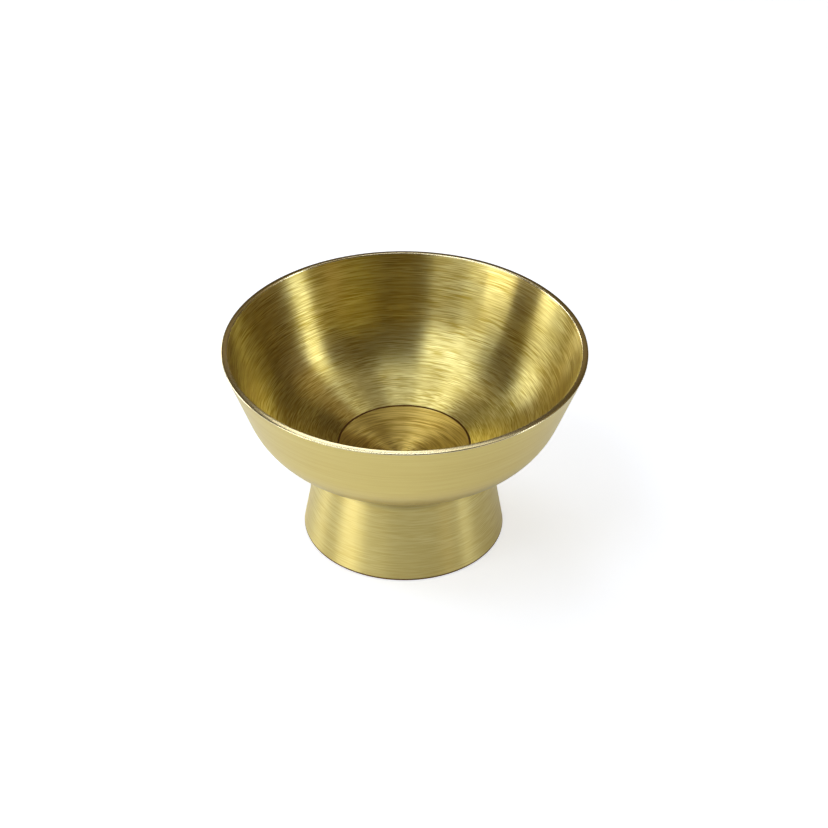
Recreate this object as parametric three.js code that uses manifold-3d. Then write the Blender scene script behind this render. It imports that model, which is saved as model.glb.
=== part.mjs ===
import * as THREE from "three";
import { mergeVertices } from "three/addons/utils/BufferGeometryUtils.js";
import Module from "manifold-3d";

// A footed brass offering bowl, standing on z = 0 with its axis on +Z.
// A turned bowl sits on a flared hollow foot. One screw under the floor disc pulls the two together.

const wasm = await Module();
wasm.setup();

// Bowl. Lengths are in millimetres, leans are degrees from upright.
const bowlDiameter = 120; // over the lip
const bowlDepth = 39.2; // from the top of the lip to the floor disc
const bowlWall = 2;
const lipSlope = 10; // degrees by which the lip's flat top falls outwards
const lipOuterRadius = 0.3;
const lipInnerRadius = 0.5;
const upperLean = 20.6;
const lowerLean = 70.5;
const bendRadius = 25; // inner face, between the upper and the lower wall

// Floor disc, let into a recess in the bowl's bottom.
const discDiameter = 44;
const discThickness = 1.2;
const discEdge = 0.15; // small bevel round its top
const seamGap = 0.25; // the fine dark ring round the disc

// Foot, and the spigot that centres it.
const footHeight = 31.9; // from the table to the bowl's seat
const footBaseDiameter = 68;
const footWall = 2;
const baseEdgeRadius = 0.5;
const seatWidth = 4; // flat ring on which the bowl sits
const spigotWall = 2.1; // between the disc's recess and the spigot's outside
const spigotClearance = 0.15;

// Fastening, an M4 countersunk screw and its stack.
const screwDiameter = 4;
const screwHeadDiameter = 8;
const screwHeadSink = 0.2; // head below the recess floor, so that the disc lies flat
const screwTipBevel = 0.5;
const screwPastNut = 2.8;
const slotWidth = 1.2;
const slotDepth = 1.1;
const headSeatGap = 0.1; // square to the cone
const holeClearance = 0.25;
const webUnderHead = 0.8;
const clampGap = 1; // keeps the clamp plate off the spigot, so that it bears on the foot
const clampThickness = 2.5;
const clampClearance = 0.4; // to the foot's inner wall
const washerDiameter = 9;
const washerThickness = 0.8;
const springWasherDiameter = 7.6;
const springWasherThickness = 0.9;
const springWasherSlit = 0.6;
const threadClearance = 0.15; // screw to washers and nut
const nutAcrossFlats = 7;
const nutHeight = 3.2;
const nutFaceShare = 0.97; // flat end face, as a share of the width across flats
const nutBevelAngle = 30;

// Facets round the axis. Pieces that meet share a number, so that their flats lie together.
const bowlFacets = 64;
const hardwareFacets = 32;
const bendSteps = 8;
const lipSteps = 4; // for each of the lip's two edges
const edgeSteps = 3;

const radians = THREE.MathUtils.degToRad;

// A point of a profile: its distance from the axis and its height.
const at = (radius, height) => new THREE.Vector2(radius, height);

// Points on an arc about a centre, both ends included, anticlockwise for growing angles.
function arc(centre, radius, from, to, steps) {
  return Array.from({ length: steps + 1 }, (_, step) => {
    const angle = from + ((to - from) * step) / steps;
    return at(centre.x + radius * Math.cos(angle), centre.y + radius * Math.sin(angle));
  });
}

// Height of a profile where it reaches a radius. The radii shrink along the profile.
function heightAt(profile, radius) {
  const next = profile.findIndex((point) => point.x <= radius);
  const [outer, inner] = [profile[next - 1], profile[next]];
  const share = (outer.x - radius) / (outer.x - inner.x);
  return outer.y + share * (inner.y - outer.y);
}

// A turned piece. Its profile runs up the outside and down the inside, or starts and ends on the axis.
function turned(profile, facets) {
  return new THREE.LatheGeometry(profile, facets).rotateX(Math.PI / 2);
}

// A turned piece with a bore, so its profile closes on its first point.
function turnedRing(profile, facets) {
  return turned([...profile, profile[0].clone()], facets);
}

// A plain ring between two radii and two heights.
function ring(innerRadius, outerRadius, bottom, top, facets) {
  const profile = [
    at(innerRadius, bottom),
    at(outerRadius, bottom),
    at(outerRadius, top),
    at(innerRadius, top),
  ];
  return turnedRing(profile, facets);
}

// A closed geometry as a solid that can be cut, and back again.
function solidOf(geometry) {
  const bare = geometry.clone();
  bare.deleteAttribute("normal");
  bare.deleteAttribute("uv");
  const merged = mergeVertices(bare);
  return new wasm.Manifold(
    new wasm.Mesh({
      numProp: 3,
      vertProperties: merged.attributes.position.array,
      triVerts: new Uint32Array(merged.index.array),
    }),
  );
}

function geometryOf(solid) {
  const { vertProperties, triVerts } = solid.getMesh();
  return new THREE.BufferGeometry()
    .setAttribute("position", new THREE.BufferAttribute(vertProperties, 3))
    .setIndex(new THREE.BufferAttribute(triVerts, 1));
}

// Radii that more than one piece shares.
const discRadius = discDiameter / 2;
const recessRadius = discRadius + seamGap;
const spigotRadius = recessRadius + spigotWall;
const neckRadius = spigotRadius + seatWidth;
const screwRadius = screwDiameter / 2;
const screwHeadRadius = screwHeadDiameter / 2;
const screwHoleRadius = screwRadius + holeClearance;
const threadHoleRadius = screwRadius + threadClearance;

// The lip: two rounded edges under a flat top. Their centres lie so far apart that the wall between them has
// its thickness across, and the top lies on both.
function bowlLip(outward) {
  const upper = radians(upperLean);
  const slope = radians(lipSlope);
  const topNormal = at(Math.sin(slope), Math.cos(slope));
  const share = Math.min(1, (0.9 * bowlWall) / (lipOuterRadius + lipInnerRadius));
  const [outerRadius, innerRadius] = [lipOuterRadius * share, lipInnerRadius * share];
  const apart = bowlWall - outerRadius - innerRadius;
  const rise = innerRadius - outerRadius;
  const between = at(topNormal.y * apart - outward.y * rise, outward.x * rise - topNormal.x * apart);
  between.divideScalar(outward.cross(topNormal));
  const outerCentre = at(bowlDiameter / 2 - outerRadius, bowlDepth - innerRadius + between.y);
  const innerCentre = outerCentre.clone().sub(between);
  return [
    ...arc(outerCentre, outerRadius, -upper, Math.PI / 2 - slope, lipSteps),
    ...arc(innerCentre, innerRadius, Math.PI / 2 - slope, Math.PI - upper, lipSteps),
  ];
}

// The bowl's wall in its own frame, with the floor at height 0. The inner face runs straight down from
// the lip, bends and runs straight to the recess, and the outer face is the same line one wall outside.
function bowlWallLines() {
  const upper = radians(upperLean);
  const lower = radians(lowerLean);
  const outward = (lean) => at(Math.cos(lean), -Math.sin(lean));
  const downward = (lean) => at(-Math.sin(lean), -Math.cos(lean));
  const lip = bowlLip(outward(upper));
  const innerTop = lip[lip.length - 1];
  const innerEnd = at(recessRadius, 0);

  // The corner where the two straight stretches would meet, and the bend laid into it.
  const span = innerEnd.clone().sub(innerTop);
  const turn = downward(upper).cross(downward(lower));
  const upperRun = span.cross(downward(lower)) / turn;
  const lowerRun = downward(upper).cross(span) / turn;
  const halfTurn = Math.tan((lower - upper) / 2);
  const largestBend = (0.9 * Math.min(upperRun, lowerRun)) / halfTurn;
  const bend = Math.min(bendRadius, largestBend);
  const bendStart = downward(upper).multiplyScalar(upperRun - bend * halfTurn).add(innerTop);
  const bendCentre = outward(upper).multiplyScalar(-bend).add(bendStart);

  const inner = [innerTop, ...arc(bendCentre, bend, -upper, -lower, bendSteps), innerEnd];
  const outer = [
    lip[0],
    ...arc(bendCentre, bend + bowlWall, -upper, -lower, bendSteps),
    outward(lower).multiplyScalar(bowlWall).add(innerEnd),
  ];
  return { inner, outer, lip };
}

const wallLines = bowlWallLines();
const seatDrop = heightAt(wallLines.outer, neckRadius);

// Heights above the table, from the foot's seat upwards and then down the screw.
const floorHeight = footHeight - seatDrop;
const recessHeight = floorHeight - discThickness;
const headTop = recessHeight - screwHeadSink;
const headBottom = headTop - (screwHeadRadius - screwRadius);
const spigotBottom = headBottom - webUnderHead;
const ledgeHeight = spigotBottom - clampGap;
const clampBottom = ledgeHeight - clampThickness;
const washerBottom = clampBottom - washerThickness;
const springWasherBottom = washerBottom - springWasherThickness;
const nutBottom = springWasherBottom - nutHeight;
const screwEnd = nutBottom - screwPastNut;

// Foot cone: its lean, and its inner face one wall inside.
const footLean = Math.atan2(footBaseDiameter / 2 - neckRadius, footHeight);
const footInnerRadius = (height) =>
  footBaseDiameter / 2 - height * Math.tan(footLean) - footWall / Math.cos(footLean);
const clampRadius = footInnerRadius(ledgeHeight) - clampClearance;

// Turned bowl: spigot and seat below, wall and lip, then the recess and the countersunk hole.
function bowlShell() {
  const lift = (point) => at(point.x, point.y + floorHeight);
  const outerDown = wallLines.outer.filter((point) => point.x > neckRadius).map(lift);
  const coneShift = headSeatGap * Math.SQRT2;
  const profile = [
    at(screwHoleRadius, spigotBottom),
    at(spigotRadius, spigotBottom),
    at(spigotRadius, footHeight),
    at(neckRadius, footHeight),
    ...outerDown.slice(1).reverse(),
    ...wallLines.lip.map(lift),
    ...wallLines.inner.slice(1).map(lift),
    at(recessRadius, recessHeight),
    at(screwHeadRadius + screwHeadSink + coneShift, recessHeight),
    at(screwHoleRadius, headTop - (screwHeadRadius + coneShift - screwHoleRadius)),
  ];
  return turnedRing(profile, bowlFacets);
}

function floorDisc() {
  const profile = [
    at(0, recessHeight),
    at(discRadius, recessHeight),
    at(discRadius, floorHeight - discEdge),
    at(discRadius - discEdge, floorHeight),
    at(0, floorHeight),
  ];
  return turned(profile, bowlFacets);
}

// Flared foot: rounded base edge, cone, flat seat, centring bore and the ledge that the clamp plate holds.
function footShell() {
  const baseCentre = at(
    footBaseDiameter / 2 - (baseEdgeRadius * (1 + Math.sin(footLean))) / Math.cos(footLean),
    baseEdgeRadius,
  );
  const profile = [
    at(footInnerRadius(0), 0),
    ...arc(baseCentre, baseEdgeRadius, -Math.PI / 2, footLean, edgeSteps),
    at(neckRadius, footHeight),
    at(spigotRadius + spigotClearance, footHeight),
    at(spigotRadius + spigotClearance, ledgeHeight),
    at(footInnerRadius(ledgeHeight), ledgeHeight),
  ];
  return turnedRing(profile, bowlFacets);
}

// Countersunk screw with a straight slot.
function centreScrew() {
  const profile = [
    at(0, screwEnd),
    at(screwRadius - screwTipBevel, screwEnd),
    at(screwRadius, screwEnd + screwTipBevel),
    at(screwRadius, headBottom),
    at(screwHeadRadius, headTop),
    at(0, headTop),
  ];
  const slot = new THREE.BoxGeometry(screwHeadDiameter * 2, slotWidth, slotDepth * 2);
  slot.translate(0, 0, headTop);
  return geometryOf(solidOf(turned(profile, hardwareFacets)).subtract(solidOf(slot)));
}

function clampPlate() {
  return ring(screwHoleRadius, clampRadius, clampBottom, ledgeHeight, bowlFacets);
}

function flatWasher() {
  const washerRadius = washerDiameter / 2;
  return ring(threadHoleRadius, washerRadius, washerBottom, clampBottom, hardwareFacets);
}

// Spring washer pressed flat, with its slit.
function springWasher() {
  const outerRadius = springWasherDiameter / 2;
  const halfSlit = springWasherSlit / (outerRadius + threadHoleRadius);
  const outline = new THREE.Shape();
  outline.absarc(0, 0, outerRadius, halfSlit, 2 * Math.PI - halfSlit, false);
  outline.absarc(0, 0, threadHoleRadius, 2 * Math.PI - halfSlit, halfSlit, true);
  const extrusion = { depth: springWasherThickness, bevelEnabled: false, curveSegments: hardwareFacets };
  return new THREE.ExtrudeGeometry(outline, extrusion).translate(0, 0, springWasherBottom);
}

// Hexagon nut: a six-sided prism with its corners bevelled by a cone at each end.
function hexNut() {
  const cornerRadius = nutAcrossFlats / Math.sqrt(3);
  const faceRadius = (nutFaceShare * nutAcrossFlats) / 2;
  const bevelHeight = (cornerRadius - faceRadius) * Math.tan(radians(nutBevelAngle));
  const hexagon = new THREE.Shape(arc(at(0, 0), cornerRadius, 0, (5 * Math.PI) / 3, 5));
  const bore = new THREE.Path();
  bore.absarc(0, 0, threadHoleRadius, 0, 2 * Math.PI, false);
  hexagon.holes.push(bore);
  const extrusion = { depth: nutHeight, bevelEnabled: false, curveSegments: hardwareFacets };
  const prism = new THREE.ExtrudeGeometry(hexagon, extrusion).translate(0, 0, nutBottom);
  const bevelled = [
    at(0, nutBottom),
    at(faceRadius, nutBottom),
    at(cornerRadius, nutBottom + bevelHeight),
    at(cornerRadius, springWasherBottom - bevelHeight),
    at(faceRadius, springWasherBottom),
    at(0, springWasherBottom),
  ];
  return geometryOf(solidOf(prism).intersect(solidOf(turned(bevelled, hardwareFacets))));
}

// Finishes.
const brushedBrass = { color: 0xb39a4f, roughness: 0.32, metalness: 1 };
const discBrass = { color: 0xb59d58, roughness: 0.36, metalness: 1 };
const footBrass = { color: 0xb8a160, roughness: 0.38, metalness: 1 };
const platedSteel = { color: 0xb4b6b8, roughness: 0.35, metalness: 1 };

const bowl = new THREE.Group();

function add(name, geometry, finish) {
  const mesh = new THREE.Mesh(geometry, new THREE.MeshStandardMaterial(finish));
  mesh.name = name;
  bowl.add(mesh);
}

add("bowl_shell", bowlShell(), brushedBrass);
add("floor_disc", floorDisc(), discBrass);
add("foot_shell", footShell(), footBrass);
add("centre_screw", centreScrew(), platedSteel);
add("clamp_plate", clampPlate(), platedSteel);
add("flat_washer", flatWasher(), platedSteel);
add("spring_washer", springWasher(), platedSteel);
add("hex_nut", hexNut(), platedSteel);

export default bowl;
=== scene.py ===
import math
import bpy
import numpy as np
from mathutils import Matrix, Vector


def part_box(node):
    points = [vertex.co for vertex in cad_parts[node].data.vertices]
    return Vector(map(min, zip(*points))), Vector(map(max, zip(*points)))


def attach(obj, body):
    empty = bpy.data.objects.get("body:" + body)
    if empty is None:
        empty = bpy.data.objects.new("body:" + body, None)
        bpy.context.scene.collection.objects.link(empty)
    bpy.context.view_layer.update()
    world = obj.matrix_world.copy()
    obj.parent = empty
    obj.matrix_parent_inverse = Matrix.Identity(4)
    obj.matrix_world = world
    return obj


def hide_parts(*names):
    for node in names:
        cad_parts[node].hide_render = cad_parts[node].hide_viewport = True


# A footed brass offering bowl on a pale studio floor.
# Nearly every surface is a profile turned about the Z axis, fitted to the boxes of the CAD nodes.

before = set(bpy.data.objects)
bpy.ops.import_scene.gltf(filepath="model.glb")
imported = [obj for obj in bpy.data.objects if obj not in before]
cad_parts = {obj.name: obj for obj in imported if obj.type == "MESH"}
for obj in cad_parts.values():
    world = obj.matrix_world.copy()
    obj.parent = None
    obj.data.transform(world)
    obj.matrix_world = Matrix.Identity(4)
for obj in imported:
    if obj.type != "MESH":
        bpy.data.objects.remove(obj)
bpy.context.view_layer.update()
scene = bpy.context.scene
scene.view_settings.view_transform = "Standard"
mm = 0.001
nearly = 1e-9                   # metres; lengths closer than this count as equal
sharpAngle = math.radians(35)   # an edge that turns by more than this stays crisp


# Small helpers for colours and materials

def linearColour(hexCode):
    # one sRGB hex value to linear light
    parts = [int(hexCode[i:i + 2], 16) / 255 for i in (1, 3, 5)]
    return tuple(c / 12.92 if c <= 0.04045 else ((c + 0.055) / 1.055) ** 2.4 for c in parts) + (1.0,)


def addNode(material, kind, settings={}, inputs={}):
    # adds a shader node, sets its properties and fills its sockets, linking those given as sockets
    node = material.node_tree.nodes.new(kind)
    for name, value in settings.items():
        setattr(node, name, value)
    for name, value in inputs.items():
        if isinstance(value, bpy.types.NodeSocket):
            material.node_tree.links.new(value, node.inputs[name])
        else:
            node.inputs[name].default_value = value
    return node


def newMaterial(name):
    material = bpy.data.materials.new(name)
    material.use_nodes = True
    material.node_tree.nodes.clear()
    return material


# Camera, at the photograph's height and distance

cameraView = {
    "distance": 680.9 * mm,     # in front of the bowl's axis
    "height": 523.0 * mm,       # above the table
    "lookDown": 35.13,          # degrees below level
    "lookAside": 0.27,          # degrees towards +X
    "roll": 0.53,               # degrees, the bowl leans a hair in the picture
    "lens": 108.7,              # mm
    "sensor": 36,               # mm
    "nearest": 10 * mm,         # what lies nearer isn't drawn
}


def placeCamera():
    # forward, right and up from the two angles, then turned about the line of sight by the roll
    down, aside, roll = (math.radians(cameraView[k]) for k in ("lookDown", "lookAside", "roll"))
    forward = Vector((math.sin(aside) * math.cos(down), math.cos(aside) * math.cos(down), -math.sin(down)))
    right = forward.cross(Vector((0, 0, 1))).normalized()
    up = right.cross(forward)
    right, up = right * math.cos(roll) + up * math.sin(roll), up * math.cos(roll) - right * math.sin(roll)
    data = bpy.data.cameras.new("cameraBowl")
    data.lens = cameraView["lens"]
    data.sensor_width = cameraView["sensor"]
    data.clip_start = cameraView["nearest"]
    camera = bpy.data.objects.new("cameraBowl", data)
    place = Matrix((right, up, -forward)).transposed().to_4x4()
    place.translation = (0, -cameraView["distance"], cameraView["height"])
    camera.matrix_world = place
    scene.collection.objects.link(camera)
    scene.camera = camera


placeCamera()
print("camera placed")


# Profiles: points of radius and height in metres, up the outside and down the inside

def straight(start, end, steps):
    # equal steps from one point to another, without the last
    share = np.arange(steps)[:, None] / steps
    return np.array(start) + share * (np.array(end) - np.array(start))


def arc(centre, radius, fromAngle, toAngle, steps):
    # equal angles about a centre, both ends included
    angle = np.linspace(fromAngle, toAngle, steps + 1)
    return np.array(centre) + radius * np.stack([np.cos(angle), np.sin(angle)], 1)


def rounded(corner, before, after, radius, steps=4):
    # a corner eased by a curve whose middle is pulled to the corner: (1-t)^2 a + 2t(1-t) c + t^2 b
    corner, before, after = (np.array(p, float) for p in (corner, before, after))
    start = corner + (before - corner) / np.linalg.norm(before - corner) * radius
    end = corner + (after - corner) / np.linalg.norm(after - corner) * radius
    t = np.linspace(0, 1, steps + 1)[:, None]
    return (1 - t) ** 2 * start + 2 * t * (1 - t) * corner + t ** 2 * end


# Turned pieces

def turnedPiece(name, profile, turns, closed=True, wave=None):
    # x = r cos a, y = r sin a, z = h for each profile point (r, h) and each angle a.
    # A closed profile meets its own start, and an open one starts and ends on the axis.
    # wave, if given, returns r for the whole grid of profile points and angles.
    profile = np.array(profile, float)
    onAxis = profile[:, 0] < nearly
    rings = profile if closed else profile[~onAxis]
    angle = np.arange(turns) * 2 * np.pi / turns
    radius = np.repeat(rings[:, :1], turns, 1) if wave is None else wave(rings, angle)
    x, y = radius * np.cos(angle), radius * np.sin(angle)
    z = np.repeat(rings[:, 1:], turns, 1)
    vertices = np.stack([x, y, z], 2).reshape(-1, 3)

    # how far along the profile each ring lies, in metres
    step = np.linalg.norm(np.diff(rings, axis=0, append=rings[:1]), axis=1)
    along = np.concatenate([[0], np.cumsum(step)])
    count = len(rings)
    spans = count if closed else count - 1
    i, j = (g.ravel() for g in np.meshgrid(np.arange(spans), np.arange(turns), indexing="ij"))
    below, above, after = i * turns, (i + 1) % count * turns, (j + 1) % turns
    quads = np.stack([below + j, below + after, above + after, above + j], 1)
    uTurn = np.stack([j, j + 1, j + 1, j], 1) / turns
    uAlong = np.stack([along[i], along[i], along[i + 1], along[i + 1]], 1)

    faces, uvs = list(quads.tolist()), [np.stack([uTurn, uAlong], 2).reshape(-1, 2)]
    if not closed:
        tips = np.array([[0, 0, profile[0, 1]], [0, 0, profile[-1, 1]]])
        low, high = len(vertices), len(vertices) + 1
        vertices = np.concatenate([vertices, tips])
        j = np.arange(turns)
        after = (j + 1) % turns
        last = (count - 1) * turns
        faces += np.stack([low + 0 * j, after, j], 1).tolist()
        faces += np.stack([high + 0 * j, last + j, last + after], 1).tolist()
        for order, height in (((0.5, 1, 0), 0), ((0.5, 0, 1), along[count - 1])):
            u = (j[:, None] + np.array(order)) / turns
            uvs.append(np.stack([u, np.full_like(u, height)], 2).reshape(-1, 2))

    mesh = bpy.data.meshes.new(name)
    mesh.from_pydata(vertices.tolist(), [], faces)
    layer = mesh.uv_layers.new(name="turned")
    layer.data.foreach_set("uv", np.concatenate(uvs).ravel().astype(np.float32))
    mesh.polygons.foreach_set("use_smooth", np.ones(len(faces), bool))
    mesh.set_sharp_from_angle(angle=sharpAngle)
    piece = bpy.data.objects.new(name, mesh)
    scene.collection.objects.link(piece)
    return piece


def finishPiece(piece, node, slot, *materials):
    # materials, body and the CAD node that the piece stands for; the slot is not used
    for material in materials:
        piece.data.materials.append(material)
    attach(piece, "root")
    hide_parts(node)


def facesByRing(piece, turns, ringMaterials):
    # one material index for each step of the profile, the same all the way round. The two tips of an open
    # profile come last, and take those of its first and last steps.
    steps = np.concatenate([ringMaterials, [ringMaterials[0], ringMaterials[-1]]])
    index = np.repeat(steps, turns)[:len(piece.data.polygons)]
    piece.data.polygons.foreach_set("material_index", index.astype(np.int32))


# Brass finishes. Each look holds the metal's colour and the same metal in the shade of a mark, its roughness
# and how far that varies, and how strongly its grooves draw light out. Marks are measured in mm across and
# deep, and in radians along. Slant turns them off their circle. Shade, ringShade and drift are how much the
# fine marks, the rings and the slow patches darken it. Lacquer is how much of the clear coat it has, which
# lays a soft gloss over the marks. The seed shifts the pattern.

creaseShadeColour = "#6b5520"          # brown of the painted shade where bowl and foot meet

insideLook = {                  # brushed bright: crisp fans of light over dark olive
    "colour": "#f7e997",        # lacquered yellow brass
    "markColour": "#bea236",    # the same metal in the shade of a mark
    "roughness": 0.32, "roughnessSpread": 0.03, "anisotropy": 1.0,
    "markWidth": 0.32,          # real brush marks are about 0.1 mm; drawn coarser, so that they show
    "markLength": 0.15, "markDepth": 0.02, "slant": 0.07,
    "shade": 1.3, "ringShade": 0.25, "drift": 0.2,
    "lacquer": 0.5, "lacquerRoughness": 0.4, "seed": 1.0,
}
discLook = {                    # brushed by itself, and a little deeper in colour than the wall
    "brushedAbout": (-1.0, -8.0, 0.0),      # mm; its marks run round a point in front of its middle
    "colour": "#f3d878", "markColour": "#ae8a2a",
    "roughness": 0.4, "roughnessSpread": 0.03, "anisotropy": 1.0,
    "markWidth": 0.5, "markLength": 0.4, "markDepth": 0.02, "slant": 0.08,
    "shade": 1.1, "ringShade": 0.25, "drift": 0.1,
    "lacquer": 0.3, "lacquerRoughness": 0.4, "seed": 31.0,
}
footLook = {                    # brushed more lightly, so paler, with soft upright stripes
    "colour": "#fbeda1", "markColour": "#d2b653",
    "creaseShadeShare": 0.45, "creaseStart": 25.0, "creaseFull": 28.0,     # share of the painted shade towards the foot's top, and heights in mm
    "roughness": 0.36, "roughnessSpread": 0.02, "anisotropy": 0.9,
    "markWidth": 0.34, "markLength": 0.26, "markDepth": 0.012, "slant": 0.04,
    "shade": 0.55, "ringShade": 0.12, "drift": 0.06,
    "lacquer": 0.5, "lacquerRoughness": 0.4, "seed": 41.0,
}
outsideLook = {                 # satin: hardly a mark, and one broad soft gloss
    "colour": "#fae890", "markColour": "#e3c768",
    # painted shade: darker towards the bottom of the bowl's outside, above the foot
    "creaseShadeShare": 0.4, "creaseStart": 48.0, "creaseFull": 40.0,
    "roughness": 0.34, "roughnessSpread": 0.02, "anisotropy": 0.4,
    "markWidth": 0.4, "markLength": 0.3, "markDepth": 0.004, "slant": 0.02,
    "shade": 0.25, "ringShade": 0.2, "drift": 0.1,
    "lacquer": 0.5, "lacquerRoughness": 0.4, "seed": 21.0,
}
lipLook = {                     # polished and bare, so it mirrors lamps in a thin bright line
    "colour": "#f9efc8", "markColour": "#ead99c",
    "roughness": 0.19, "roughnessSpread": 0.01, "anisotropy": 0.0,
    "markWidth": 0.5, "markLength": 0.4, "markDepth": 0.0, "slant": 0.0,
    "shade": 0.1, "ringShade": 0.2, "drift": 0.1,
    "lacquer": 0.0, "lacquerRoughness": 0.1, "seed": 11.0,
}
turnedLook = {                  # straight from the lathe and bare, so duller and browner
    "colour": "#d9bf7c", "markColour": "#a8884a",
    "roughness": 0.48, "roughnessSpread": 0.06, "anisotropy": 0.6,
    "markWidth": 0.35, "markLength": 1.6, "markDepth": 0.012, "slant": 0.0,
    "shade": 0.5, "ringShade": 0.3, "drift": 0.2,
    "lacquer": 0.0, "lacquerRoughness": 0.1, "seed": 51.0,
}

# The layers of marks on a brushed face: width and length as shares of the look's own, a shift that keeps
# its pattern apart from the others, and the detail of its noise
markLayers = {
    "hair": (1.0, 1.0, 0.0, 1.0),
    "ring": (2.1, 3.5, 5.7, 2.0),
    "lay": (0.9, 0.7, 3.1, 0.5),            # turns the grooves
    "drift": (16.0, 5.0, 7.3, 2.0),
    "patch": (12.0, 2.5, 9.9, 1.0),         # where the fine marks are strong
}
brushing = {
    "faintest": 0.35,                       # share of their shade that the fine marks keep where weakest
    "hairReach": 0.4,                       # how far a fine mark goes to each side of the middle colour
    "hairFrom": 0.38, "hairTo": 0.62,       # the noise at which it goes that far
    "wallSlant": 0.4, "bottomSlant": 1.0,   # shares of the look's slant
    "wallFacing": 0.35, "bottomFacing": 0.94,   # how far the two face up, of 1
    "quarterTurn": 0.25,                    # lays the gloss across the grooves
}


def brushedCircles(material, look):
    # Where a point lies in the brushing: its direction from the axis, of length 1, and its distance along
    # the profile. A face brushed about another point takes both from that point.
    place = addNode(material, "ShaderNodeTexCoord")
    flat = addNode(material, "ShaderNodeVectorMath", {"operation": "MULTIPLY"},
                   {0: place.outputs["Object"], 1: (1, 1, 0)})
    if "brushedAbout" in look:
        flat = addNode(material, "ShaderNodeVectorMath", {"operation": "SUBTRACT"},
                       {0: flat.outputs[0], 1: tuple(v * mm for v in look["brushedAbout"])})
        along = addNode(material, "ShaderNodeVectorMath", {"operation": "LENGTH"}, {0: flat.outputs[0]})
        along = along.outputs["Value"]
    else:
        uv = addNode(material, "ShaderNodeUVMap", {"uv_map": "turned"})
        along = addNode(material, "ShaderNodeSeparateXYZ", {}, {0: uv.outputs[0]}).outputs["Y"]
    away = addNode(material, "ShaderNodeVectorMath", {"operation": "NORMALIZE"}, {0: flat.outputs[0]})
    return away.outputs[0], along


def marks(material, circles, width, length, seed, detail, roughness=0.55):
    # noise drawn out round the axis: it reads (cos a, sin a) / length and the distance along the profile
    # / width, so it has no seam and each mark is many times longer than it is wide
    away, along = circles
    wide = addNode(material, "ShaderNodeVectorMath", {"operation": "SCALE"}, {0: away, "Scale": 1 / length})
    height = addNode(material, "ShaderNodeMath", {"operation": "MULTIPLY_ADD"},
                     {0: along, 1: 1 / (width * mm), 2: seed})
    lift = addNode(material, "ShaderNodeCombineXYZ", {}, {"Z": height.outputs[0]})
    where = addNode(material, "ShaderNodeVectorMath", {"operation": "ADD"},
                    {0: wide.outputs[0], 1: lift.outputs[0]})
    noise = addNode(material, "ShaderNodeTexNoise", {},
                    {"Vector": where.outputs[0], "Scale": 1.0, "Detail": detail, "Roughness": roughness})
    return noise.outputs["Fac"]


def ranged(material, value, low, high, fromLow=0.3, fromHigh=0.7):
    # a value spread over a new range, and held to it
    node = addNode(material, "ShaderNodeMapRange", {}, {
        "Value": value, "From Min": fromLow, "From Max": fromHigh, "To Min": low, "To Max": high})
    return node.outputs["Result"]


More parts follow.
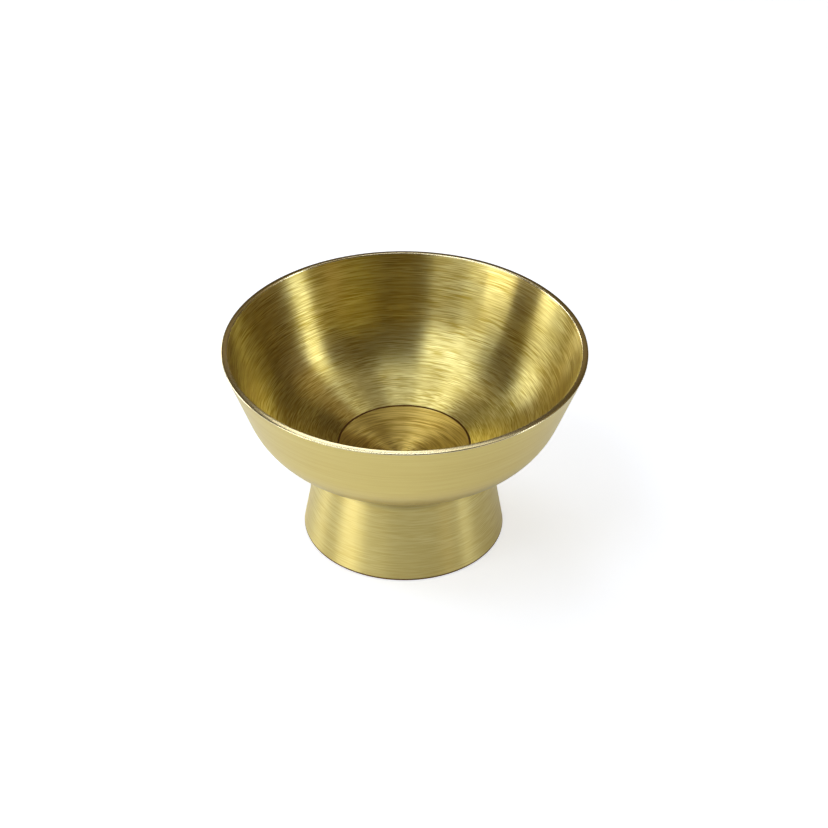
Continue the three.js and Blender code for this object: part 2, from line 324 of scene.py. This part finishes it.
def brushedBrass(name, look):
    # Brass brushed round the axis. Each groove spreads light across itself, so a lamp draws out into a fan
    # that runs from lip to floor. No two marks lie quite parallel, which frays the fans into hairlines.
    material = newMaterial(name)
    b = brushing
    circles = brushedCircles(material, look)
    layer = {}
    for kind, (wider, longer, shift, detail) in markLayers.items():
        layer[kind] = marks(material, circles, look["markWidth"] * wider, look["markLength"] * longer,
                            look["seed"] + shift, detail)
    rough = ranged(material, layer["ring"], look["roughness"] - look["roughnessSpread"],
                   look["roughness"] + look["roughnessSpread"])

    # The colour lies halfway between the metal and its shade. Slow drift, rings and fine marks move it to
    # either side, and the fine marks are stronger in some patches.
    strength = ranged(material, layer["patch"], look["shade"] * b["faintest"], look["shade"])
    hair = ranged(material, layer["hair"], -b["hairReach"], b["hairReach"], b["hairFrom"], b["hairTo"])
    slow = addNode(material, "ShaderNodeMath", {"operation": "MULTIPLY_ADD"}, {
        0: ranged(material, layer["drift"], -0.5, 0.5), 1: look["drift"], 2: 0.5})
    ringed = addNode(material, "ShaderNodeMath", {"operation": "MULTIPLY_ADD"}, {
        0: ranged(material, layer["ring"], -0.5, 0.5), 1: look["ringShade"], 2: slow.outputs[0]})
    dim = addNode(material, "ShaderNodeMath", {"operation": "MULTIPLY_ADD"}, {
        0: hair, 1: strength, 2: ringed.outputs[0]})
    colour = addNode(material, "ShaderNodeMix", {"data_type": "RGBA"}, {
        "Factor": dim.outputs[0], "A": linearColour(look["colour"]), "B": linearColour(look["markColour"])})
    if "creaseShadeShare" in look:
        # painted shade: darker and browner towards where bowl and foot meet, where shade falls between the
        # two parts
        place = addNode(material, "ShaderNodeTexCoord")
        height = addNode(material, "ShaderNodeSeparateXYZ", {}, {0: place.outputs["Object"]})
        creaseShading = addNode(material, "ShaderNodeMapRange", {"interpolation_type": "SMOOTHSTEP"}, {
            "Value": height.outputs["Z"], "From Min": look["creaseStart"] * mm,
            "From Max": look["creaseFull"] * mm, "To Min": 0.0, "To Max": look["creaseShadeShare"]})
        colour = addNode(material, "ShaderNodeMix", {"data_type": "RGBA"}, {
            "Factor": creaseShading.outputs["Result"], "A": colour.outputs["Result"], "B": linearColour(creaseShadeColour)})

    # the grooves' own direction: round the axis, turned a little by each mark, and more where the metal lies
    # flat, since the bottom is brushed by hand and the wall against a stop
    normal = addNode(material, "ShaderNodeNewGeometry").outputs["Normal"]
    facing = addNode(material, "ShaderNodeSeparateXYZ", {}, {0: normal})
    turn = addNode(material, "ShaderNodeMath", {"operation": "MULTIPLY"}, {
        0: ranged(material, layer["lay"], -look["slant"], look["slant"]),
        1: ranged(material, facing.outputs["Z"], b["wallSlant"], b["bottomSlant"],
                  b["wallFacing"], b["bottomFacing"])})
    around = addNode(material, "ShaderNodeVectorMath", {"operation": "CROSS_PRODUCT"},
                     {0: (0, 0, 1), 1: circles[0]})
    across = addNode(material, "ShaderNodeVectorMath", {"operation": "CROSS_PRODUCT"},
                     {0: normal, 1: around.outputs[0]})
    slanted = addNode(material, "ShaderNodeVectorMath", {"operation": "MULTIPLY_ADD"}, {
        0: across.outputs[0], 1: turn.outputs[0], 2: around.outputs[0]})

    bump = addNode(material, "ShaderNodeBump", {},
                   {"Height": layer["hair"], "Strength": 1.0, "Distance": look["markDepth"] * mm})
    metal = addNode(material, "ShaderNodeBsdfPrincipled", {}, {
        "Base Color": colour.outputs["Result"], "Metallic": 1.0, "Roughness": rough,
        "Anisotropic": look["anisotropy"], "Anisotropic Rotation": b["quarterTurn"],
        "Tangent": slanted.outputs[0], "Normal": bump.outputs[0], "Coat Weight": look["lacquer"],
        "Coat Roughness": look["lacquerRoughness"], "Coat Normal": bump.outputs[0]})
    addNode(material, "ShaderNodeOutputMaterial", {}, {"Surface": metal.outputs[0]})
    return material


steelLook = {
    "colour": "#c4c7ca",
    "passivation": "#bdb89a",   # the faint straw tint of the zinc's passivation
    "tint": 0.7,                # the most of that tint in a patch
    "grain": 0.9,               # mm across a patch of tint
    "pits": 0.16,               # mm between the dull specks
    "pitDepth": 0.008,          # mm
    "roughness": 0.27, "speckRoughness": 0.44,
}


def zincPlated(name, look):
    # Steel with bright zinc plating: an even, slightly milky metal with soft patches of straw tint and
    # dull specks
    material = newMaterial(name)
    place = addNode(material, "ShaderNodeTexCoord")
    patches = addNode(material, "ShaderNodeTexNoise", {}, {
        "Vector": place.outputs["Object"], "Scale": 1 / (look["grain"] * mm), "Detail": 3.0})
    specks = addNode(material, "ShaderNodeTexNoise", {}, {
        "Vector": place.outputs["Object"], "Scale": 1 / (look["pits"] * mm), "Detail": 2.0})
    colour = addNode(material, "ShaderNodeMix", {"data_type": "RGBA"}, {
        "Factor": ranged(material, patches.outputs["Fac"], 0.0, look["tint"]),
        "A": linearColour(look["colour"]), "B": linearColour(look["passivation"])})
    rough = ranged(material, specks.outputs["Fac"], look["roughness"], look["speckRoughness"])
    bump = addNode(material, "ShaderNodeBump", {},
                   {"Height": specks.outputs["Fac"], "Strength": 0.5, "Distance": look["pitDepth"] * mm})
    metal = addNode(material, "ShaderNodeBsdfPrincipled", {}, {
        "Base Color": colour.outputs["Result"], "Metallic": 1.0, "Roughness": rough,
        "Normal": bump.outputs[0]})
    addNode(material, "ShaderNodeOutputMaterial", {}, {"Surface": metal.outputs[0]})
    return material


# Painted shade: a brown for the seam round the floor disc and for the foot's base edge, where shade falls
edgeShadeLook = {
    "colour": "#80570f",        # brown
    "darkest": 0.4,             # brightness of its darkest spots, of that brown
    "spots": 0.6,               # the most of that dark in a spot
    "roughness": 0.55, "metallic": 0.3,
    "grain": 0.4, "grainDepth": 0.03,       # mm
}


def paintedShadeBrass(name, look):
    # Painted shade: a dull brown line, a little uneven, on the edges of the seam round the floor disc and on
    # the foot's base edge, where shade and contact shadow fall
    material = newMaterial(name)
    place = addNode(material, "ShaderNodeTexCoord")
    grain = addNode(material, "ShaderNodeTexNoise", {}, {
        "Vector": place.outputs["Object"], "Scale": 1 / (look["grain"] * mm), "Detail": 2.0})
    base = linearColour(look["colour"])
    colour = addNode(material, "ShaderNodeMix", {"data_type": "RGBA"}, {
        "Factor": ranged(material, grain.outputs["Fac"], 0.0, look["spots"]), "A": base,
        "B": tuple(c * look["darkest"] for c in base[:3]) + (1.0,)})
    bump = addNode(material, "ShaderNodeBump", {},
                   {"Height": grain.outputs["Fac"], "Strength": 0.5, "Distance": look["grainDepth"] * mm})
    shadeSurface = addNode(material, "ShaderNodeBsdfPrincipled", {}, {
        "Base Color": colour.outputs["Result"], "Metallic": look["metallic"], "Roughness": look["roughness"],
        "Normal": bump.outputs[0]})
    addNode(material, "ShaderNodeOutputMaterial", {}, {"Surface": shadeSurface.outputs[0]})
    return material


insideBrass = brushedBrass("brassBrushedInside", insideLook)
lipBrass = brushedBrass("brassPolishedLip", lipLook)
outsideBrass = brushedBrass("brassSatinOutside", outsideLook)
discBrass = brushedBrass("brassBrushedDisc", discLook)
footBrass = brushedBrass("brassBrushedFoot", footLook)
turnedBrass = brushedBrass("brassTurnedUnseen", turnedLook)
platedSteel = zincPlated("steelZincPlated", steelLook)
# painted shade for the seam and the foot's base edge
seamAndEdgeShade = paintedShadeBrass("paintedShadeSeamAndBaseEdge", edgeShadeLook)
print("materials made")


# Bowl shell

bowlShape = {
    "wall": 2.0 * mm,
    "lipSlope": 10.0,           # degrees by which the lip's top falls outwards
    "lipOuterEdge": 0.3 * mm,
    "lipInnerEdge": 0.5 * mm,
    "lipCrown": 0.02 * mm,      # the top is turned a hair round
    "edgeSteps": 12, "crownSteps": 8,       # along the lip's two edges and its top
    "upperLean": 20.6,          # degrees from upright
    "lowerLean": 70.5,
    "bendRadius": 25.0 * mm,    # inner face
    "upperSteps": 24, "bendSteps": 40, "lowerSteps": 20,
    "recessRadius": 22.25 * mm,
    "recessDepth": 1.2 * mm,
    "recessEdge": 0.25 * mm,
    "spigotRadius": 24.35 * mm,
    "spigotEdge": 0.3 * mm,
    "neckRadius": 28.35 * mm,
    "neckEdge": 0.25 * mm,
    "neckRun": 0.4 * mm,        # the outside's own points start this far past the neck
    "holeRadius": 2.25 * mm,
    "sinkRadius": 4.34 * mm,    # mouth of the countersink
    "turns": 288,
}


def lipLine(lipTop, rimRadius, out):
    # Two rounded edges under one sloping top. The vector between their centres makes the wall as thick as it
    # is, measured along out, and lays the top on both. The top is raised by 4 c t (1 - t) into a low crown.
    s = bowlShape
    slope = math.radians(s["lipSlope"])
    topNormal = np.array([math.sin(slope), math.cos(slope)])
    outer, inner = s["lipOuterEdge"], s["lipInnerEdge"]
    between = np.linalg.solve(np.stack([out, topNormal]), [s["wall"] - outer - inner, inner - outer])
    innerCentre = np.array([rimRadius - outer - between[0], lipTop - inner])
    wallNormal = math.atan2(out[1], out[0])
    outerEdge = arc(innerCentre + between, outer, wallNormal, math.pi / 2 - slope, s["edgeSteps"])
    innerEdge = arc(innerCentre, inner, math.pi / 2 - slope, math.pi + wallNormal, s["edgeSteps"])
    t = np.linspace(0, 1, s["crownSteps"] + 1)[1:-1, None]
    top = outerEdge[-1] * (1 - t) + innerEdge[0] * t + 4 * s["lipCrown"] * t * (1 - t) * topNormal
    return np.concatenate([outerEdge, top, innerEdge])


def wallLines(lipTop, rimRadius, floorTop):
    # inner and outer face of the wall: straight, bend, straight, one wall apart, and the lip between them
    s = bowlShape
    upper, lower = math.radians(s["upperLean"]), math.radians(s["lowerLean"])
    out = lambda lean: np.array([math.cos(lean), -math.sin(lean)])
    down = lambda lean: np.array([-math.sin(lean), -math.cos(lean)])
    lip = lipLine(lipTop, rimRadius, out(upper))
    innerTop = lip[-1]
    innerEnd = np.array([s["recessRadius"], floorTop])
    corner = np.linalg.solve(np.stack([down(upper), down(lower)], 1), innerEnd - innerTop)
    tangent = s["bendRadius"] * math.tan((lower - upper) / 2)
    bendStart = innerTop + (corner[0] - tangent) * down(upper)
    centre = bendStart - s["bendRadius"] * out(upper)

    def face(top, offset, end):
        bend = arc(centre, s["bendRadius"] + offset, -upper, -lower, s["bendSteps"])
        above = straight(top, bend[0], s["upperSteps"])
        return np.concatenate([above, bend, straight(bend[-1], end, s["lowerSteps"])[1:], [end]])

    inner = face(innerTop, 0, innerEnd)
    outer = face(lip[0], s["wall"], innerEnd + s["wall"] * out(lower))
    return inner, outer, lip


def makeBowlShell():
    s = bowlShape
    low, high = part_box("bowl_shell")
    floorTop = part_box("floor_disc")[1].z
    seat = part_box("foot_shell")[1].z
    inner, outer, lip = wallLines(high.z, high.x, floorTop)
    below = outer[outer[:, 0] > s["neckRadius"] + s["neckRun"]][::-1]
    recess = floorTop - s["recessDepth"]
    sinkEnd = recess - (s["sinkRadius"] - s["holeRadius"])
    under = [[s["holeRadius"], low.z], [s["spigotRadius"], low.z], [s["spigotRadius"], seat]]
    underside = np.concatenate([
        [under[0]],
        rounded(under[1], under[0], under[2], s["spigotEdge"]),
        [under[2]],
        rounded([s["neckRadius"], seat], under[2], below[0], s["neckEdge"]),
    ])
    seam = np.concatenate([
        rounded(inner[-1], inner[-2], [s["recessRadius"], recess], s["recessEdge"]),
        [[s["recessRadius"], recess]],
    ])
    bottom = [[s["sinkRadius"], recess], [s["holeRadius"], sinkEnd]]
    profile = np.concatenate([underside, below[:-1], lip, inner[1:-1], seam, bottom])
    piece = turnedPiece("bowlShell", profile, s["turns"])
    counts = [len(underside), len(below) - 1, len(lip) - 1, len(inner) - 1, len(seam) - 1, len(bottom) + 1]
    # the seam's rounded edge is drawn in the brown painted shade
    facesByRing(piece, s["turns"], np.repeat([3, 2, 1, 0, 4, 3], counts))
    finishPiece(piece, "bowl_shell", "bowl_brass",
                insideBrass, lipBrass, outsideBrass, turnedBrass, seamAndEdgeShade)


makeBowlShell()
print("bowl shell turned")


# Floor disc

discShape = {"edge": 0.3 * mm, "belowSteps": 12, "topSteps": 40, "turns": 192}


def makeFloorDisc():
    s = discShape
    low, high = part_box("floor_disc")
    r = high.x
    below = straight([0, low.z], [r, low.z], s["belowSteps"])
    edge = rounded([r, high.z], [r, low.z], [0, high.z], s["edge"])
    top = straight(edge[-1], [0, high.z], s["topSteps"])[1:]
    profile = np.concatenate([below, [[r, low.z]], edge, top, [[0, high.z]]])
    piece = turnedPiece("floorDisc", profile, s["turns"], closed=False)
    # the disc's rounded edge is drawn in the brown painted shade of the seam
    facesByRing(piece, s["turns"], np.repeat([1, 2, 0], [len(below) - 1, len(edge), len(top)]))
    finishPiece(piece, "floor_disc", "disc_brass", discBrass, turnedBrass, seamAndEdgeShade)


makeFloorDisc()
print("floor disc turned")


# Foot

footShape = {
    "baseRadius": 34.0 * mm,
    "wall": 2.0 * mm,
    "baseEdge": 0.5 * mm,
    "edgeSteps": 8,             # of the base edge, which carries painted contact shadow
    "edgeShadeRise": 0.2 * mm,    # how far the painted contact shadow reaches above the edge
    "boreRadius": 24.5 * mm,
    "neckRadius": bowlShape["neckRadius"],
    "neckEdge": 0.15 * mm,
    "wallSteps": 40, "hollowSteps": 20,
    "turns": 256,
}


def makeFootShell():
    s = footShape
    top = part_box("foot_shell")[1].z
    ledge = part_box("clamp_plate")[1].z
    lean = math.atan2(s["baseRadius"] - s["neckRadius"], top)
    inside = lambda z: s["baseRadius"] - z * math.tan(lean) - s["wall"] / math.cos(lean)
    edge = s["baseEdge"]
    centre = [s["baseRadius"] - edge * (1 + math.sin(lean)) / math.cos(lean), edge]
    base = arc(centre, edge, -math.pi / 2, lean, s["edgeSteps"])
    neck = rounded([s["neckRadius"], top], base[-1], [s["boreRadius"], top], s["neckEdge"])
    edgeShadeTop = base[-1] + (neck[0] - base[-1]) / np.linalg.norm(neck[0] - base[-1]) * s["edgeShadeRise"]
    wall = straight(edgeShadeTop, neck[0], s["wallSteps"])
    hollow = np.concatenate([
        [[s["boreRadius"], top], [s["boreRadius"], ledge], [inside(ledge), ledge]],
        straight([inside(ledge), ledge], [inside(0), 0], s["hollowSteps"])[1:],
    ])
    profile = np.concatenate([[[inside(0), 0]], base, wall, neck, hollow])
    piece = turnedPiece("footShell", profile, s["turns"])
    counts = [1, len(base), len(wall) + len(neck) - 1, 1 + len(hollow)]
    # the base edge and a little above it are drawn in the brown painted contact shadow
    facesByRing(piece, s["turns"], np.repeat([1, 2, 0, 1], counts))
    finishPiece(piece, "foot_shell", "foot_brass", footBrass, turnedBrass, seamAndEdgeShade)


makeFootShell()
print("foot turned")


# Steel hardware inside the foot

threadShape = {
    "pitch": 0.7 * mm,          # M4 coarse
    "depth": 0.38 * mm,
    "flat": 0.14,               # share of the pitch that is flat at the crest, and again at the root
    "rowsPerTurn": 8,
    "clearance": 0.1 * mm,      # between the screw's thread and the nut's
}


def threadCut(height, angle):
    # 0 on the crest and 1 in the root of a right-hand helix. The phase is height over pitch, less the turn.
    s = threadShape
    phase = (height[:, None] / s["pitch"] - angle[None, :] / (2 * np.pi)) % 1
    return np.clip((np.abs(2 * phase - 1) - s["flat"]) / (1 - 2 * s["flat"]), 0, 1)


def threadRows(low, high):
    return int((high - low) / threadShape["pitch"] * threadShape["rowsPerTurn"])


def cutBox(piece, low, high):
    # takes a box out of a closed piece, and keeps the result as its mesh
    corners = [[(low, high)[i][0], (low, high)[j][1], (low, high)[k][2]]
               for i in (0, 1) for j in (0, 1) for k in (0, 1)]
    faces = [(0, 1, 3, 2), (4, 6, 7, 5), (0, 4, 5, 1), (2, 3, 7, 6), (0, 2, 6, 4), (1, 5, 7, 3)]
    mesh = bpy.data.meshes.new("boxCutter")
    mesh.from_pydata(corners, [], faces)
    cutter = bpy.data.objects.new("boxCutter", mesh)
    scene.collection.objects.link(cutter)
    cut = piece.modifiers.new("slot", "BOOLEAN")
    cut.operation, cut.solver, cut.object = "DIFFERENCE", "EXACT", cutter
    cleared = bpy.data.meshes.new_from_object(piece.evaluated_get(bpy.context.evaluated_depsgraph_get()))
    piece.modifiers.clear()
    piece.data = cleared
    bpy.data.objects.remove(cutter)


screwShape = {
    "radius": 2.0 * mm,
    "headRadius": 4.0 * mm,     # a 90 degree countersunk head
    "headEdge": 0.12 * mm,
    "tipBevel": 0.5 * mm,
    "plainNeck": 0.8 * mm,
    "slotWidth": 1.2 * mm,
    "slotDepth": 1.1 * mm,
    "turns": 48,
}


def makeCentreScrew():
    s = screwShape
    low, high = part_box("centre_screw")
    headBottom = high.z - (s["headRadius"] - s["radius"])
    threadEnd = headBottom - s["plainNeck"]
    shank = straight([s["radius"], low.z], [s["radius"], threadEnd], threadRows(low.z, threadEnd))
    shank[:, 0] = np.minimum(shank[:, 0], s["radius"] - s["tipBevel"] + shank[:, 1] - low.z)
    rim = [s["headRadius"], high.z]
    head = rounded(rim, [s["radius"], headBottom], [0, high.z], s["headEdge"])
    profile = np.concatenate([
        [[0, low.z]], shank, [[s["radius"], threadEnd], [s["radius"], headBottom]], head, [[0, high.z]]])

    def threaded(rings, angle):
        # the thread runs out over one pitch below the neck
        fade = np.clip((threadEnd - rings[:, 1]) / threadShape["pitch"], 0, 1)[:, None]
        thread = s["radius"] - threadShape["depth"] * threadCut(rings[:, 1], angle) * fade
        return np.where(rings[:, 1:] < threadEnd, np.minimum(rings[:, :1], thread), rings[:, :1])

    piece = turnedPiece("centreScrew", profile, s["turns"], closed=False, wave=threaded)
    cutBox(piece, (-2 * s["headRadius"], -s["slotWidth"] / 2, high.z - s["slotDepth"]),
           (2 * s["headRadius"], s["slotWidth"] / 2, high.z + s["slotDepth"]))
    finishPiece(piece, "centre_screw", "plated_steel", platedSteel)


plateShape = {"hole": 2.25 * mm, "edge": 0.35 * mm, "turns": 192}
washerShape = {"hole": 2.15 * mm, "edge": 0.12 * mm, "turns": 96}
springShape = {
    "hole": 2.15 * mm, "edge": 0.08 * mm,
    "slit": 0.6 * mm,
    "slant": 20.0,              # degrees from upright
    "turns": 128,
}


def ringSection(hole, outer, low, high, edge):
    # a rectangle of radius and height with four small round edges
    corners = [[hole, low], [outer, low], [outer, high], [hole, high]]
    return np.concatenate([rounded(corners[i], corners[i - 1], corners[(i + 1) % 4], edge)
                           for i in range(4)])


def makeFlatRing(name, node, shape):
    # a plate or washer: one section, turned
    low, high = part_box(node)
    section = ringSection(shape["hole"], high.x, low.z, high.z, shape["edge"])
    piece = turnedPiece(name, section, shape["turns"])
    finishPiece(piece, node, "plated_steel", platedSteel)


def makeSpringWasher():
    # one section carried round from one side of the slit to the other; the slit leans, so the angle at which
    # a point starts grows with its height, and each end is closed by one face
    s = springShape
    low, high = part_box("spring_washer")
    outer = high.y
    section = ringSection(s["hole"], outer, low.z, high.z, s["edge"])
    middle = (outer + s["hole"]) / 2
    lean = (section[:, 1] - (low.z + high.z) / 2) * math.tan(math.radians(s["slant"])) / middle
    half = s["slit"] / 2 / middle
    share = np.linspace(0, 1, s["turns"] + 1)[:, None]
    angle = half + share * 2 * (math.pi - half) + lean[None, :]
    radius, height = section[:, 0][None, :], np.broadcast_to(section[:, 1], angle.shape)
    vertices = np.stack([radius * np.cos(angle), radius * np.sin(angle), height], 2).reshape(-1, 3)
    count = len(section)
    i, j = (g.ravel() for g in np.meshgrid(np.arange(s["turns"]), np.arange(count), indexing="ij"))
    here, after = i * count, (i + 1) * count
    nextOne = (j + 1) % count
    faces = np.stack([here + j, after + j, after + nextOne, here + nextOne], 1).tolist()
    last = s["turns"] * count
    faces += [list(range(count)), list(range(last, last + count))[::-1]]
    mesh = bpy.data.meshes.new("springWasher")
    mesh.from_pydata(vertices.tolist(), [], faces)
    mesh.set_sharp_from_angle(angle=sharpAngle)
    piece = bpy.data.objects.new("springWasher", mesh)
    scene.collection.objects.link(piece)
    finishPiece(piece, "spring_washer", "plated_steel", platedSteel)


nutShape = {
    "faceShare": 0.97,          # of the width across flats, where the bevel starts on each face
    "bevel": 30.0,              # degrees from the face
    "bevelSteps": 10,
    "sinkDepth": 0.3 * mm,      # of the bevel at each end of the threaded hole
    "sinkWidth": 0.12 * mm,
    "turns": 96,
}


def makeHexNut():
    # The outside is the smaller of a hexagon, half width / cos of the angle from the nearest flat's middle,
    # and the bevel's cone, which gives the curved edge where the two meet. The hole has a thread.
    s = nutShape
    low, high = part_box("hex_nut")
    halfWidth, corner = high.y, high.x
    face = s["faceShare"] * halfWidth
    slope = math.tan(math.radians(s["bevel"]))
    bevelHeight = (corner - face) * slope
    root = screwShape["radius"] + threadShape["clearance"]
    mouth = root + s["sinkWidth"]
    bevelBelow = straight([face, low.z], [corner, low.z + bevelHeight], s["bevelSteps"])
    bevelAbove = straight([corner, high.z - bevelHeight], [face, high.z], s["bevelSteps"])
    outside = np.concatenate([bevelBelow, [[corner, low.z + bevelHeight]], bevelAbove, [[face, high.z]]])
    boreTop, boreLow = high.z - s["sinkDepth"], low.z + s["sinkDepth"]
    bore = straight([root, boreTop], [root, boreLow], threadRows(boreLow, boreTop))
    profile = np.concatenate([outside, [[mouth, high.z]], bore, [[root, boreLow], [mouth, low.z]]])

    def hexagonAndThread(rings, angle):
        fromFlat = (angle % (math.pi / 3)) - math.pi / 6
        hexagon = halfWidth / np.cos(fromFlat)[None, :]
        thread = root - threadShape["depth"] * threadCut(rings[:, 1], angle)
        inHole = rings[:, :1] <= root + nearly
        return np.where(inHole, thread, np.minimum(rings[:, :1], hexagon))

    piece = turnedPiece("hexNut", profile, s["turns"], wave=hexagonAndThread)
    finishPiece(piece, "hex_nut", "plated_steel", platedSteel)


makeCentreScrew()
makeFlatRing("clampPlate", "clamp_plate", plateShape)
makeFlatRing("flatWasher", "flat_washer", washerShape)
makeSpringWasher()
makeHexNut()
print("steel hardware made")


# Floor and light

studio = {
    "floorRadius": 6.0,         # metres
    "floorSides": 96,
    "floorDrop": 0.03 * mm,     # the floor lies this far under the foot, so that the two never coincide
    "floorColour": "#e2e6ea",
    "floorOwn": 0.63,           # white that the camera sees on top of the lit paper; it keeps shadows faint
    "floorInMetal": 0.22,       # the same in reflections
    "roomColour": "#ffd78a",    # the dim room itself is warm
    "roomFill": 0.067,
    "backdropHeight": 4.0,      # degrees that the pale backdrop rises above the floor, as the bowl sees it
    "backdropFade": 0.3,        # it fades over this share of its height, to each side of its top
    "backdropInMetal": 0.45,    # its white in reflections
    "lampDistance": 1.0,        # metres
    "lampsAbout": 50 * mm,      # height of the point that they face
}

daylight = "#e1eaff"
plainWhite = "#ffffff"
warmCard = "#ffe4b8"

softboxes = [
    # name, azimuth and elevation, width and height, all in degrees as the bowl sees them, brightness, colour
    ("topBack", 100, 54, 18, 12, 1.9, plainWhite),
    ("backCard", 90, 32, 40, 12, 0.14, warmCard),
    ("top", 92, 71, 14, 10, 4.2, daylight),
    ("topFront", 222, 68, 20, 12, 5.0, daylight),
    ("topLeft", 163, 66, 30, 12, 3.0, daylight),
    ("topRight", 54, 62, 30, 10, 0.9, plainWhite),
    ("leftBackHigh", 146, 26, 23, 8, 6.0, daylight),
    ("leftBackMiddle", 158, 18, 23, 8, 6.5, daylight),
    ("lowLeftBack", 128, 12, 12, 20, 3.8, plainWhite),
    ("lowLeft", 167, 8, 14, 12, 5.0, plainWhite),
    ("lowLeftFront", 205, 9, 20, 12, 6.0, plainWhite),
    ("leftFrontMiddle", 212, 22, 32, 14, 2.0, daylight),
    ("lowStripFront", 219, 3, 12, 5, 4.5, plainWhite),
    ("lowFront", 242, 5, 20, 6, 0.9, plainWhite),
    ("frontLeftHigh", 226, 38, 40, 14, 1.3, plainWhite),
    ("frontLeftTop", 228, 52, 26, 10, 2.8, daylight),
    ("lowFrontRight", 318, 8, 12, 8, 1.3, warmCard),
    ("lowRight", 344, 17, 12, 12, 6.4, daylight),
    ("right", 354, 37, 12, 13, 7.0, daylight),
    ("rightBack", 30, 48, 30, 12, 0.6, warmCard),
    ("lowStripLeft", 200, 3, 60, 5, 1.9, plainWhite),
]


def seenShare(owner, toCamera, inMetal):
    # how much of its own white a surface shows: one share to the camera, another in metal and through glass
    ray = addNode(owner, "ShaderNodeLightPath")
    mirrored = addNode(owner, "ShaderNodeMath", {"operation": "MAXIMUM"},
                       {0: ray.outputs["Is Glossy Ray"], 1: ray.outputs["Is Transmission Ray"]})
    reflected = addNode(owner, "ShaderNodeMath", {"operation": "MULTIPLY"},
                        {0: mirrored.outputs[0], 1: inMetal})
    share = addNode(owner, "ShaderNodeMath", {"operation": "MULTIPLY_ADD"},
                    {0: ray.outputs["Is Camera Ray"], 1: toCamera, 2: reflected.outputs[0]})
    return share.outputs[0]


def makeFloor():
    # pale paper with a white of its own, and clear from below, so that the underside can be looked at
    paper = newMaterial("floorPalePaper")
    matt = addNode(paper, "ShaderNodeBsdfDiffuse", {}, {"Color": linearColour(studio["floorColour"])})
    own = addNode(paper, "ShaderNodeEmission", {},
                  {"Strength": seenShare(paper, studio["floorOwn"], studio["floorInMetal"])})
    both = addNode(paper, "ShaderNodeAddShader", {}, {0: matt.outputs[0], 1: own.outputs[0]})
    clear = addNode(paper, "ShaderNodeBsdfTransparent")
    below = addNode(paper, "ShaderNodeNewGeometry").outputs["Backfacing"]
    surface = addNode(paper, "ShaderNodeMixShader", {}, {0: below, 1: both.outputs[0], 2: clear.outputs[0]})
    addNode(paper, "ShaderNodeOutputMaterial", {}, {"Surface": surface.outputs[0]})
    bpy.ops.mesh.primitive_circle_add(vertices=studio["floorSides"], radius=studio["floorRadius"],
                                      fill_type="NGON", location=(0, 0, -studio["floorDrop"]))
    sheet = bpy.context.object
    sheet.name = "floorSheet"
    sheet.data.materials.append(paper)


def makeRoom():
    # a dim room round the lamps, which the camera sees as white. Metal shows the pale backdrop near the
    # floor, and the dim room above it.
    room = bpy.data.worlds.new("studioRoom")
    room.use_nodes = True
    room.node_tree.nodes.clear()
    direction = addNode(room, "ShaderNodeTexCoord")
    parts = addNode(room, "ShaderNodeSeparateXYZ", {}, {0: direction.outputs["Generated"]})
    edge = math.sin(math.radians(studio["backdropHeight"]))
    fade = edge * studio["backdropFade"]
    band = ranged(room, parts.outputs["Z"], studio["backdropInMetal"], 0.0, edge - fade, edge + fade)
    white = addNode(room, "ShaderNodeBackground", {}, {"Strength": seenShare(room, 1.0, band)})
    dim = addNode(room, "ShaderNodeBackground", {}, {
        "Color": linearColour(studio["roomColour"]), "Strength": studio["roomFill"]})
    both = addNode(room, "ShaderNodeAddShader", {}, {0: white.outputs[0], 1: dim.outputs[0]})
    addNode(room, "ShaderNodeOutputWorld", {}, {"Surface": both.outputs[0]})
    scene.world = room


def hangSoftbox(name, azimuth, elevation, width, height, brightness, colour):
    # An area lamp on a sphere about the bowl's middle, facing it. Its sides are 2 d tan(angle / 2), and at
    # brightness 1 it gives pi times its area in watts, which looks as bright as white paper.
    a, e = math.radians(azimuth), math.radians(elevation)
    middle = Vector((0, 0, studio["lampsAbout"]))
    away = Vector((math.cos(a) * math.cos(e), math.sin(a) * math.cos(e), math.sin(e)))
    side = lambda angle: 2 * studio["lampDistance"] * math.tan(math.radians(angle) / 2)
    data = bpy.data.lights.new(name, "AREA")
    data.shape = "RECTANGLE"
    data.size, data.size_y = side(width), side(height)
    data.energy = math.pi * data.size * data.size_y * brightness
    data.color = linearColour(colour)[:3]
    lamp = bpy.data.objects.new(name, data)
    lamp.location = middle + studio["lampDistance"] * away
    lamp.rotation_euler = (-away).to_track_quat("-Z", "Y").to_euler()
    lamp.visible_camera = False
    scene.collection.objects.link(lamp)


makeFloor()
makeRoom()
for softbox in softboxes:
    hangSoftbox(*softbox)
print("studio lit")
